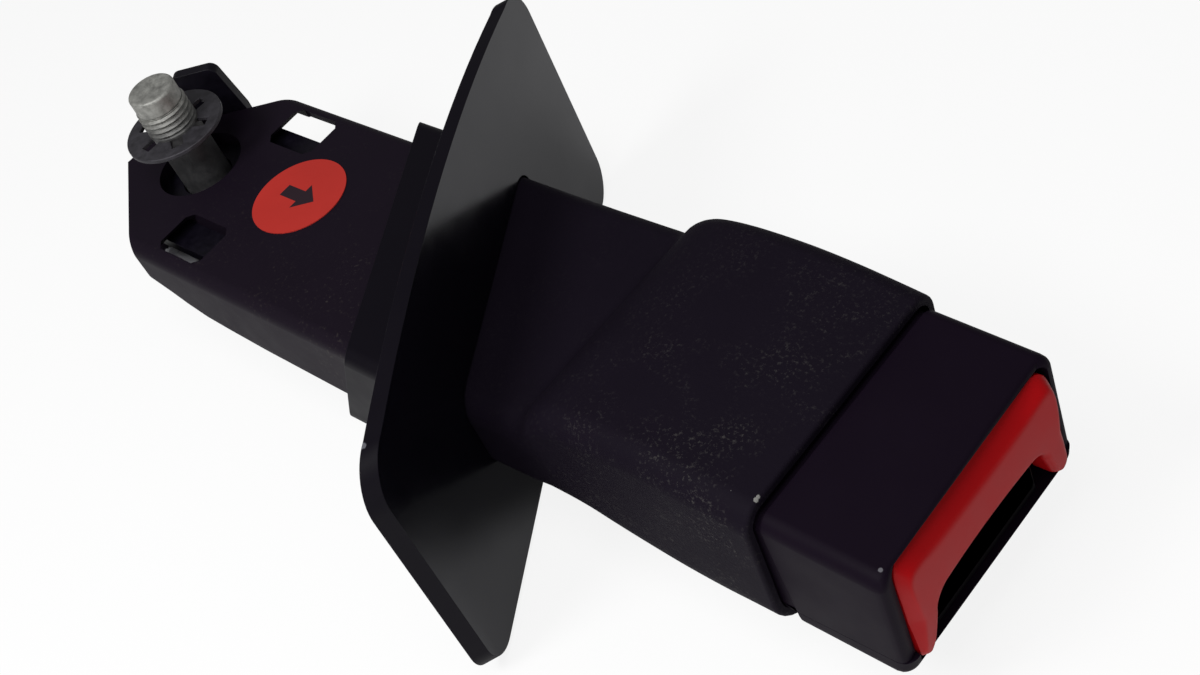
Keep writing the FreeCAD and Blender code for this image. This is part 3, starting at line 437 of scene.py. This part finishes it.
sleeve = {"x": [40, 118, 121.5, 123.5, 125.6, 129.4, 132.5, 138, 145, 152, 160, 168, 173.9],
          "half": [25.2, 25.2, 25.2, 25.2, 25.3, 25.3, 25.3, 25.4, 25.4, 25.4, 25.4, 25.3, 25.3],
          "top": [6.0, 6.1, 6.4, 7.9, 10.3, 12.9, 14.0, 14.7, 15.0, 14.9, 14.2, 13.2, 12.2],
          "bottom": [-12.6, -12.6, -12.4, -12.4, -12.5, -13.2, -14.2, -16.2, -18.2, -19.4, -20.1, -20.4,
                     -20.5],
          "rBottom": [5, 5, 5.2, 5.6, 6, 6.6, 7.3, 8.4, 9, 9, 9, 9, 9], "rTop": 4.5, "wall": 1.6, "lip": 0.7,
          "planeX": 93.7, "yawDegrees": 31.4, "behind": 19.0, "backX": 70.0, "straightX": 116.0,
          "bendX": 160.0, "mouthX": 173.9, "mouthLean": 4.0, "crown": 0.7, "crownX": (124, 150)}


# Rings across X, each shrunk by its inset. Behind straightX they lean over to the plate's turned plane,
# x = (distance - y sin yaw) / cos yaw, and past bendX to the mouth, x = mouth - (top - z) tan lean.
def sleeveGrid(alongX, inset):
    y, z = roundedRings(smoothThrough(alongX, sleeve["x"], sleeve["half"]) - inset,
                        smoothThrough(alongX, sleeve["x"], sleeve["top"]) - inset,
                        smoothThrough(alongX, sleeve["x"], sleeve["bottom"]) + inset,
                        sleeve["rTop"] - inset,
                        smoothThrough(alongX, sleeve["x"], sleeve["rBottom"]) - inset)
    x = np.broadcast_to(alongX[:, None], y.shape)
    rise = sleeve["crown"] * np.clip(np.interp(x, sleeve["crownX"], (0, 1)), 0, 1)
    z = z + crown(y, z, sleeve["half"][-1], sleeve["top"][-1], sleeve["bottom"][-1], rise)
    yaw = math.radians(sleeve["yawDegrees"])
    plane = sleeve["planeX"] - (sleeve["behind"] + y * math.sin(yaw)) / math.cos(yaw)
    share = (x - sleeve["backX"]) / (sleeve["straightX"] - sleeve["backX"])
    rear = plane + share * (sleeve["straightX"] - plane)
    lean = np.clip((x - sleeve["bendX"]) / (sleeve["mouthX"] - sleeve["bendX"]), 0, 1)
    front = x - lean * (sleeve["top"][-1] - z) * math.tan(math.radians(sleeve["mouthLean"]))
    return np.stack([np.where(share < 1, rear, front), y, z], -1)


lipTurn = np.radians(np.linspace(0, 90, 6))
straightRows = np.concatenate([np.linspace(sleeve["backX"], sleeve["straightX"], 6),
                               np.arange(117, 137, 0.8),
                               np.linspace(137, sleeve["mouthX"] - sleeve["lip"] - 0.4, 16)])
outerX = np.concatenate([straightRows, sleeve["mouthX"] - sleeve["lip"] * (1 - np.sin(lipTurn))])
outerInset = np.concatenate([0 * straightRows, sleeve["lip"] * (1 - np.cos(lipTurn))])
innerX = np.concatenate([straightRows, np.full(len(lipTurn), sleeve["mouthX"])])
innerInset = np.full(len(innerX), sleeve["wall"])
points, faces = wallShell(sleeveGrid(outerX, outerInset), sleeveGrid(innerX, innerInset), True)
placePiece(meshPiece("stalkSleeve", points, faces, sleevePlastic), "stalk", "grained_black_plastic",
           "stalk_sleeve")


# The head's two casings: an arch and a tray that meet at a seam near the bottom

print("stage: head casings")

head = {"backX": 149.4, "stepX": 174.6, "half": 23.5, "top": 10.1, "bottom": -18.2,
        "noseTop": 8.7, "noseBottom": -18.9, "rTop": 2.6, "rBottom": 3.5,
        "hiddenHalf": 23.1, "hiddenTop": 9.5, "hiddenBottom": -17.3, "hiddenRBottom": 4.0,
        "innerHalf": 21.1, "innerTop": 7.5, "innerBottom": -16.2, "innerR": 1.6, "innerX": 190.0,
        "profileZ": [-22.0, -18.8, -16.2, -12.0, -5.0, 2.0, 8.6, 12.0],
        "profileX": [193.7, 193.9, 195.3, 196.4, 197.1, 197.0, 196.9, 196.8],
        "crown": 1.0, "noseCrown": (8.5, -19.0), "bow": 4.7, "nearAhead": 0.5, "openingY": 0.5,
        "edgeR": 2.0, "sideR": 2.4, "seamZ": -13.2, "seamGap": 0.06, "stepR": 0.35}


# An arch or a tray with its two ends on the seam
def headRing(half, top, bottom, rTop, rBottom, upper):
    y, z = roundedRings(half, top, bottom, rTop, rBottom, (0, 1) if upper else (2, 3))
    seam = head["seamZ"] + (head["seamGap"] if upper else -head["seamGap"])
    ends = y[:, [0, -1]] * 0 + seam
    y = np.concatenate([y[:, :1], y, y[:, -1:]], 1)
    z = np.concatenate([ends[:, :1], z, ends[:, 1:]], 1)
    return y, z


# Outer rows run from the hidden back over the step to the nose. At the nose the rim goes from the outer
# ring to the inner one, set back by r - sqrt(r^2 - (r - d)^2) at a distance d in from the outside. The
# arch's rim is set back further by bow (1 - (y/half)^2), and its near side stands ahead of its far side.
def casingHalf(upper):
    rows = []
    for x in np.linspace(head["backX"], head["stepX"] - 0.02, 4):
        y, z = headRing(head["hiddenHalf"], head["hiddenTop"], head["hiddenBottom"],
                        head["rTop"], head["hiddenRBottom"], upper)
        rows.append(np.stack([y * 0 + x, y, z], -1))
    for back, shrink in ((0.0, head["stepR"]), (0.1, 0.1), (head["stepR"], 0.0)):
        y, z = headRing(head["half"] - shrink, head["top"] - shrink, head["bottom"] + shrink,
                        head["rTop"], head["rBottom"], upper)
        if upper:
            z = z + crown(y, z, head["half"], head["top"], head["bottom"], head["crown"])
        rows.append(np.stack([y * 0 + head["stepX"] + back, y, z], -1))
    noseY, noseZ = headRing(head["half"], head["noseTop"], head["noseBottom"],
                            head["rTop"], head["rBottom"], upper)
    innerY, innerZ = headRing(head["innerHalf"], head["innerTop"], head["innerBottom"],
                              head["innerR"], head["innerR"], upper)
    openingY = innerY + head["openingY"]
    sideways = np.clip((np.abs(noseY) - (head["half"] - head["rTop"])) / head["rTop"], 0, 1)
    radius = head["edgeR"] + (head["sideR"] - head["edgeR"]) * sideways
    thickness = np.hypot(noseY - openingY, noseZ - innerZ)
    rim = []
    for t in np.concatenate([np.linspace(0, 0.5, 9), np.linspace(0.62, 1, 4)]):
        y, z = noseY + t * (openingY - noseY), noseZ + t * (innerZ - noseZ)
        inward = np.minimum(t * thickness, radius)
        setBack = radius - np.sqrt(radius ** 2 - (radius - inward) ** 2)
        x = smoothThrough(z, head["profileZ"], head["profileX"]) - setBack
        if upper:
            x = x - head["bow"] * (1 - (y / head["half"]) ** 2)
            x = x - head["nearAhead"] * y / head["half"] * np.clip((z - 2) / 6, 0, 1)
            z = z + crown(y, z, head["half"], *head["noseCrown"], head["crown"])
        rim.append(np.stack([x, y, z], -1))
    start = rows[-1]
    for t in np.linspace(0, 1, 12)[1:-1]:
        rows.append(start + t * (rim[0] - start))
    outer = np.concatenate(rows + rim)
    rise = crown(innerY, innerZ, head["innerHalf"], head["innerTop"], head["innerBottom"], head["crown"])
    inner = []
    for x in np.linspace(head["backX"], head["innerX"], len(outer)):
        ramp = np.clip((x - head["stepX"]) / 3, 0, 1)
        y = innerY + head["openingY"] * ramp * (innerY > 0)
        inner.append(np.stack([innerY * 0 + x, y, innerZ + rise * ramp * upper], -1))
    return wallShell(outer, np.concatenate(inner), False)


casings = (("casingUpper", "head_casing_upper", True), ("casingLower", "head_casing_lower", False))
for pieceName, node, upper in casings:
    points, faces = casingHalf(upper)
    placePiece(meshPiece(pieceName, points, faces, casingPlastic), "stalk", "black_plastic", node)


# The press button's face: an arch over the tongue's slot, bowed in plan, crowned and off centre

print("stage: button")

face = {"half": 20.75, "top": 7.15, "foot": -15.8, "footR": 2.4, "slotHalf": 15.0, "slotTop": -5.6,
        "slotR": 3.2, "taper": 0.3, "squareness": 9,
        "frontZ": [-16.0, -12.0, -8.0, -2.0, 5.2, 8.2],
        "frontX": [196.3, 196.9, 197.3, 197.7, 197.75, 197.7],
        "backX": 192.3, "least": 0.4, "cutX": 192.7, "bow": 1.0, "crown": 1.0, "bevelTop": 1.9,
        "bevelMiddle": 2.7, "bevelFoot": 0.6, "soft": 0.3, "lipTop": 0.9, "lipLeg": 1.3,
        "rows": 40, "legColumns": 22, "cornerColumns": 34, "barColumns": 24}


# Outer and inner edges of the arch, from the near foot to the far one. In a corner both lie on rays from the
# slot corner's centre: the inner at r, the outer where (|cos a|/w)^p + (|sin a|/h)^p = 1.
def archEdges():
    centreY, centreZ = face["slotHalf"] - face["slotR"], face["slotTop"] - face["slotR"]
    rise = 1 - np.cos(np.radians(np.linspace(0, 90, face["legColumns"])))
    legZ = face["foot"] + (centreZ - face["foot"]) * rise
    legOuter = np.stack([0 * legZ + face["half"], legZ], -1)
    legInner = np.stack([face["slotHalf"] + face["taper"] * (centreZ - legZ), legZ], -1)
    a = np.radians(np.linspace(0, 90, face["cornerColumns"]))[1:]
    ray = np.stack([np.cos(a), np.sin(a)], -1)
    reach = ((ray[:, 0] / (face["half"] - centreY)) ** face["squareness"]
             + (ray[:, 1] / (face["top"] - centreZ)) ** face["squareness"]) ** (-1 / face["squareness"])
    barY = np.linspace(centreY, 0, face["barColumns"])[1:]
    outer = np.concatenate([legOuter, (centreY, centreZ) + ray * reach[:, None],
                            np.stack([barY, 0 * barY + face["top"]], -1)])
    inner = np.concatenate([legInner, (centreY, centreZ) + ray * face["slotR"],
                            np.stack([barY, 0 * barY + face["slotTop"]], -1)])
    mirror = np.array([-1, 1])
    return [np.concatenate([edge * mirror, edge[-2::-1]]) for edge in (outer, inner)]


# x = front(z) - bow (1 - (y/half)^2) - bevel - lip, where the bevel falls by w - d within w of the outer
# edge, with w largest in the middle, and the lip by r - sqrt(r^2 - (r - d)^2) within r of the inner one.
# Each foot closes as a half circle.
def buttonFace():
    outer, inner = archEdges()
    width = np.linalg.norm(outer - inner, axis=1)
    footR = np.minimum(width / 2, face["footR"])
    up = np.clip(np.minimum(outer[:, 1], inner[:, 1]) - face["foot"], 0, footR)
    pinch = (footR - np.sqrt(footR ** 2 - (footR - up) ** 2)) * (width / 2 / footR)
    toInner = (inner - outer) / width[:, None]
    outer, inner = outer + toInner * pinch[:, None], inner - toInner * pinch[:, None]
    share = (0.5 - 0.5 * np.cos(np.linspace(0, np.pi, face["rows"])))[:, None, None]
    plane = outer + share * (inner - outer)
    y, z = plane[..., 0], plane[..., 1]
    fromOuter, fromInner = np.linalg.norm(plane - outer, axis=2), np.linalg.norm(plane - inner, axis=2)
    down = np.clip((face["slotTop"] - outer[:, 1]) / (face["slotTop"] - face["foot"]), 0, 1)
    bevel = face["bevelTop"] + down * (face["bevelFoot"] - face["bevelTop"])
    bevel = bevel + face["bevelMiddle"] * (1 - (outer[:, 0] / face["half"]) ** 2)
    over = bevel - fromOuter
    setBack = 0.5 * (over + np.sqrt(over ** 2 + face["soft"] ** 2))
    low = np.clip((face["slotTop"] + 1.0 - inner[:, 1]) / (face["slotR"] + 1.0), 0, 1)
    lip = face["lipTop"] + low * (face["lipLeg"] - face["lipTop"])
    setBack += lip - np.sqrt(lip ** 2 - np.clip(lip - fromInner, 0, lip) ** 2)
    x = smoothThrough(z, face["frontZ"], face["frontX"]) - setBack
    x = x - face["bow"] * (1 - (y / face["half"]) ** 2)
    z = z + crown(y, z, face["half"], face["top"], face["slotTop"], face["crown"])
    front = np.stack([x, y + head["openingY"], z], -1)
    back = front[[-1, 0]]
    back[..., 0] = np.minimum(face["backX"], back[..., 0] - face["least"])
    return np.concatenate([front, back])


grid = buttonFace()
placePiece(meshPiece("buttonFace", grid.reshape(-1, 3), gridFaces(*grid.shape[:2], True), buttonPlastic),
           "button", "red_plastic", "press_button")


# The anchor bolt: a turned outline with rolled thread and a hexagon

print("stage: bolt")

bolt = {"hexFlats": 17.0, "hexLow": -12.5, "flangeLow": -5.5, "flangeTop": -3.7, "flangeR": 11.0,
        "shankR": 5.3, "threadR": 5.54, "threadLow": 15.6, "threadHigh": 21.4, "pitch": 1.27,
        "depth": 0.62, "dogR": 5.15, "top": 25.2, "topR": 0.7, "columns": 96, "threadStep": 0.085}


# Rings of (z, r). In the thread r = base - fade * depth (1 - wave)^0.8, and the wave goes up a pitch a turn.
def boltGrid():
    a = np.linspace(0, 2 * np.pi, bolt["columns"], endpoint=False)[None, :]
    flats = bolt["hexFlats"] / 2 / np.cos((a + np.pi / 6) % (np.pi / 3) - np.pi / 6)
    hexR = np.minimum(flats, bolt["hexFlats"] / 2 * 1.12)
    flangeLow, flangeTop, flangeR = bolt["flangeLow"], bolt["flangeTop"], bolt["flangeR"]
    low = [(bolt["hexLow"], hexR * 0), (bolt["hexLow"], hexR - 1.2), (bolt["hexLow"] + 0.5, hexR - 0.3),
           (bolt["hexLow"] + 1.0, hexR), (flangeLow, hexR), (flangeLow + 0.1, flangeR - 0.4),
           (flangeLow + 0.5, flangeR), (flangeTop - 0.3, flangeR), (flangeTop, flangeR - 0.3),
           (flangeTop, bolt["shankR"]), (bolt["threadLow"] - 0.6, bolt["shankR"])]
    rows = [np.stack([r * np.cos(a), r * np.sin(a), 0 * a + z], -1) for z, r in low]
    z = np.arange(bolt["threadLow"] - 0.5, bolt["threadHigh"] + 0.4, bolt["threadStep"])[:, None]
    fade = np.clip((z - bolt["threadLow"]) / 0.8, 0, 1) * np.clip((bolt["threadHigh"] - z) / 0.8, 0, 1)
    wave = 0.5 + 0.5 * np.cos(2 * np.pi * (z / bolt["pitch"] - a / (2 * np.pi)))
    base = np.where(z > bolt["threadHigh"] - 0.4, bolt["dogR"], bolt["threadR"])
    r = base - fade * bolt["depth"] * (1 - wave) ** 0.8
    rows += list(np.stack([r * np.cos(a), r * np.sin(a), z + 0 * a], -1)[:, None])
    for turnAngle in np.radians(np.linspace(0, 90, 6)):
        r = bolt["dogR"] - bolt["topR"] * (1 - np.cos(turnAngle))
        height = bolt["top"] - bolt["topR"] * (1 - np.sin(turnAngle))
        rows.append(np.stack([r * np.cos(a), r * np.sin(a), 0 * a + height], -1))
    for share in (0.6, 0.25, 0.0):
        r = (bolt["dogR"] - bolt["topR"]) * share + 0 * a
        dent = 0.05 * np.sin(5 * a) * share
        rows.append(np.stack([r * np.cos(a), r * np.sin(a), dent + bolt["top"] - 0.1], -1))
    return np.concatenate(rows)


grid = boltGrid()
faces = gridFaces(*grid.shape[:2], False, True)
placePiece(meshPiece("anchorBolt", grid.reshape(-1, 3), faces, boltSteel, 50), "bolt", "zinc_steel",
           "anchor_bolt")


# Springs: round wire wound in a helix, with closed end turns

print("stage: springs")


# Centre line: start + along * s(t) + r (cos, sin), where s eases at both ends so the end turns lie flat.
def coilSpring(start, along, length, radius, wire, turns, perTurn=28, sides=8):
    steps = int(turns * perTurn)
    t = np.linspace(0, 1, steps)
    flat = 1.0 / turns
    eased = np.clip((t - flat) / (1 - 2 * flat), 0, 1)
    run = wire / 2 + (length - wire) * (eased * 0.94 + 0.06 * t)
    along = np.array(along, float)
    across = np.array([0, 1, 0]) if abs(along[1]) < 0.5 else np.array([1, 0, 0])
    other = np.cross(along, across)
    a = 2 * np.pi * turns * t
    out = np.cos(a)[:, None] * across + np.sin(a)[:, None] * other
    centre = np.array(start) + run[:, None] * along + (radius - wire / 2) * out
    b = np.linspace(0, 2 * np.pi, sides, endpoint=False)
    around = np.cos(b)[None, :, None] * out[:, None, :] + np.sin(b)[None, :, None] * along
    tube = centre[:, None, :] + wire / 2 * around
    points = np.concatenate([tube.reshape(-1, 3), centre[:1], centre[-1:]])
    faces = gridFaces(steps, sides, False, True)
    c = np.arange(sides)
    faces += np.stack([c, (c + 1) % sides, 0 * c + steps * sides], -1).tolist()
    last = (steps - 1) * sides
    faces += np.stack([last + (c + 1) % sides, last + c, 0 * c + steps * sides + 1], -1).tolist()
    return points, faces


buttonSpring = {"along": (1, 0, 0), "length": 25.2, "radius": 2.4, "wire": 0.6, "turns": 11,
                "node": "button_springs", "joint": "button_press", "anchorAt": (0.168, 0, 0), "keep": 0.80}
springs = [
    {"name": "buttonSpringNear", "start": (168.0, -15.4, 2.6), **buttonSpring},
    {"name": "buttonSpringFar", "start": (168.0, 15.4, 2.6), **buttonSpring},
    {"name": "latchSpring", "start": (165.0, 0, -6.4), "along": (0, 0, 1), "length": 13.9, "radius": 3.0,
     "wire": 0.7, "turns": 7, "node": "latch_spring", "joint": "latch_turn", "anchorAt": (0, 0, 0.0075),
     "keep": 0.77},
    {"name": "ejectorSpring", "start": (152.0, 0, -11.6), "along": (1, 0, 0), "length": 16.6,
     "radius": 1.55, "wire": 0.45, "turns": 12, "node": "ejector_spring", "joint": "ejector_slide",
     "anchorAt": (0.152, 0, 0), "keep": 0.60}]
for spring in springs:
    shape = [spring[key] for key in ("start", "along", "length", "radius", "wire", "turns")]
    points, faces = coilSpring(*shape)
    coil = meshPiece(spring["name"], points, faces, springSteel, 60)
    placePiece(coil, "stalk", "spring_steel", spring["node"])
    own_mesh(coil)


# The printed mark on the round label: a plain arrow towards the button

print("stage: label")

arrow = {"x": 32.6, "y": 1.9, "z": 3.7, "length": 9.5, "shaft": 1.5, "headLength": 4.2, "headHalf": 3.4,
         "thick": 0.03}
tail, neckX, tip = -arrow["length"] / 2, arrow["length"] / 2 - arrow["headLength"], arrow["length"] / 2
shaft, barb = arrow["shaft"], arrow["headHalf"]
outline = np.array([(tail, -shaft), (neckX, -shaft), (neckX, -barb), (tip, 0), (neckX, barb), (neckX, shaft),
                    (tail, shaft)]) + (arrow["x"], arrow["y"])
count = len(outline)
points = np.concatenate([np.column_stack([outline, np.full(count, arrow["z"] + dz)])
                         for dz in (0, arrow["thick"])])
k = np.arange(count)
sides = np.stack([k, (k + 1) % count, (k + 1) % count + count, k + count], -1).tolist()
faces = [list(range(count))[::-1], list(range(count, 2 * count))] + sides
placePiece(meshPiece("labelArrow", points, faces, labelInk), "stalk", "red_film")


# Mouldings and stampings whose shape the frame already holds, their edges rounded as moulded or pressed

print("stage: rounded edges")

roundedNodes = [
    # node, piece, material, body, slot, edge width mm, segments
    ("trim_plate", "trimPlate", platePlastic, "stalk", "black_plastic", 0.7, 3),
    ("rear_cover", "rearCover", coverPlastic, "stalk", "black_plastic", 0.45, 2),
    ("rear_cover_base", "rearCoverBase", coverPlastic, "stalk", "black_plastic", 0.3, 2),
    ("anchor_strap", "anchorStrap", coatedSteel, "stalk", "black_steel", 0.35, 2),
    ("retaining_washer", "keeperWasher", phosphateSteel, "bolt", "zinc_steel", 0.18, 2),
    ("tongue_guide", "tongueGuide", innerPlastic, "stalk", "black_plastic", 0.4, 2),
    ("buckle_frame", "buckleFrame", zincSteel, "stalk", "zinc_steel", 0.3, 2),
    ("latch", "latchPlate", hardSteel, "latch", "hardened_steel", 0.25, 2),
    ("ejector", "ejectorBlock", naturalPlastic, "ejector", "natural_plastic", 0.4, 2),
    ("cover_rivets", "coverRivets", zincSteel, "stalk", "zinc_steel", 0.3, 2),
    ("frame_rivets", "frameRivets", zincSteel, "stalk", "zinc_steel", 0.25, 2)]
for node, pieceName, material, body, slotName, width, segments in roundedNodes:
    placePiece(softenCopy(node, pieceName, material, width, segments), body, slotName, node)

# The plate's two broad faces are polished and the rest is satin.
plateMesh = bpy.data.objects["trimPlate"].data
plateMesh.materials.append(rimPlastic)
yaw = math.radians(sleeve["yawDegrees"])
for polygon in plateMesh.polygons:
    facing = abs(polygon.normal.dot(Vector((math.cos(yaw), math.sin(yaw), 0))))
    polygon.material_index = 0 if facing > 0.99 else 1

# The button's skirt, arms and cams behind its face: the node's own shape cut off at a plane and capped
carrier = softenCopy("press_button", "buttonCarrier", buttonPlastic, 0.3)
work = bmesh.new()
work.from_mesh(carrier.data)
cut = bmesh.ops.bisect_plane(work, geom=work.verts[:] + work.edges[:] + work.faces[:], dist=1e-6,
                             plane_co=(face["cutX"] * mm, 0, 0), plane_no=(1, 0, 0), clear_outer=True)
openEdges = [e for e in cut["geom_cut"] if isinstance(e, bmesh.types.BMEdge)]
bmesh.ops.triangle_fill(work, use_beauty=True, edges=openEdges)
bmesh.ops.recalc_face_normals(work, faces=work.faces)
work.to_mesh(carrier.data)
work.free()
placePiece(carrier, "button", "red_plastic", "press_button")

print("stage: finish")
